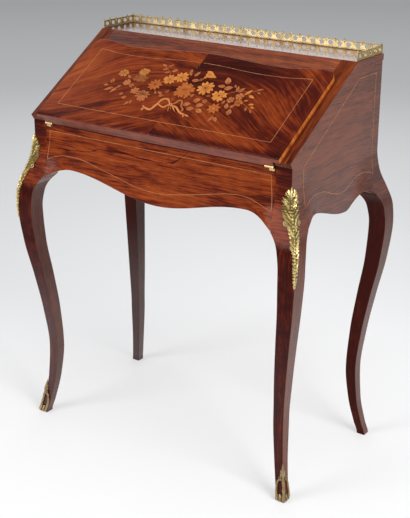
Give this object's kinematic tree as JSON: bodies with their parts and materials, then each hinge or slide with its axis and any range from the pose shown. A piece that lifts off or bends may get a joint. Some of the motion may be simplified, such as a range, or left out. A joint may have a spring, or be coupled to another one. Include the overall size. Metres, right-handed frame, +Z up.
{
  "type": "slant-front writing desk",
  "caption": "Small slant-front writing desk on cabriole legs, with a hinged fall, inner drawers and pigeonholes, a well with a sliding lid, and a low pierced brass gallery.",
  "frame": {"origin": "on the floor, under the middle of the whole desk", "axes": "+X to the right of someone sitting at it, +Y to its back, +Z up; the fall and apron face -Y"},
  "size_m": [0.7524, 0.4232, 0.9273],
  "materials": {
    "rosewood": "figured veneer, French polished",
    "oak": "waxed secondary wood",
    "gilt": "cast and gilded",
    "brass": "polished",
    "steel": "plain",
    "leather": "smooth, lightly waxed"
  },
  "bodies": {
    "carcass": {"leg_front_left": "rosewood", "leg_front_right": "rosewood", "leg_rear_left": "rosewood", "leg_rear_right": "rosewood", "side_panel_left": "rosewood", "side_panel_right": "rosewood", "front_apron": "rosewood", "back_panel": "oak", "top_board": "rosewood", "slant_stile_left": "rosewood", "slant_stile_right": "rosewood", "slant_top_rail": "rosewood", "desk_board": "oak", "bottom_board": "oak", "desk_bearer_left": "oak", "desk_bearer_right": "oak", "bottom_bearer_left": "oak", "bottom_bearer_right": "oak", "well_wall_left": "oak", "well_wall_right": "oak", "desk_hinge_leaf_left": "brass", "desk_hinge_leaf_right": "brass", "hinge_pin_left": "steel", "hinge_pin_right": "steel", "strike_plate": "brass", "drawer_bed": "oak", "drawer_divider_left": "oak", "drawer_divider_right": "oak", "pigeonhole_shelf": "oak", "pigeonhole_divider_1": "oak", "pigeonhole_divider_2": "oak", "pigeonhole_divider_3": "oak", "gallery_back": "gilt", "gallery_left": "gilt", "gallery_right": "gilt", "knee_mount_left": "gilt", "knee_mount_right": "gilt", "toe_cap_left": "gilt", "toe_cap_right": "gilt"},
    "fall": {"fall_panel": "rosewood", "writing_leather": "leather", "fall_hinge_leaf_left": "brass", "fall_hinge_leaf_right": "brass", "lock_case": "brass", "escutcheon": "brass"},
    "lock_bolt": {"lock_bolt": "steel"},
    "well_lid": {"well_lid": "oak"},
    "drawer_left": {"drawer_front_left": "rosewood", "drawer_box_left": "oak", "drawer_knob_left": "brass"},
    "drawer_centre": {"drawer_front_centre": "rosewood", "drawer_box_centre": "oak", "drawer_knob_centre": "brass"},
    "drawer_right": {"drawer_front_right": "rosewood", "drawer_box_right": "oak", "drawer_knob_right": "brass"}
  },
  "joints": [
    {"name": "fall_hinge", "type": "hinge", "parent": "carcass", "child": "fall", "pos_m": [0, -0.1789, 0.733], "axis": [1, 0, 0], "range_deg": [0, 147.86]},
    {"name": "lock_bolt_slide", "type": "slide", "parent": "fall", "child": "lock_bolt", "axis": [0, 0.8467, 0.532], "range_m": [0, 0.008]},
    {"name": "well_lid_slide", "type": "slide", "parent": "carcass", "child": "well_lid", "axis": [0, 1, 0], "range_m": [0, 0.1]},
    {"name": "drawer_slide_left", "type": "slide", "parent": "carcass", "child": "drawer_left", "axis": [0, -1, 0], "range_m": [0, 0.085]},
    {"name": "drawer_slide_centre", "type": "slide", "parent": "carcass", "child": "drawer_centre", "axis": [0, -1, 0], "range_m": [0, 0.085]},
    {"name": "drawer_slide_right", "type": "slide", "parent": "carcass", "child": "drawer_right", "axis": [0, -1, 0], "range_m": [0, 0.085]}
  ]
}
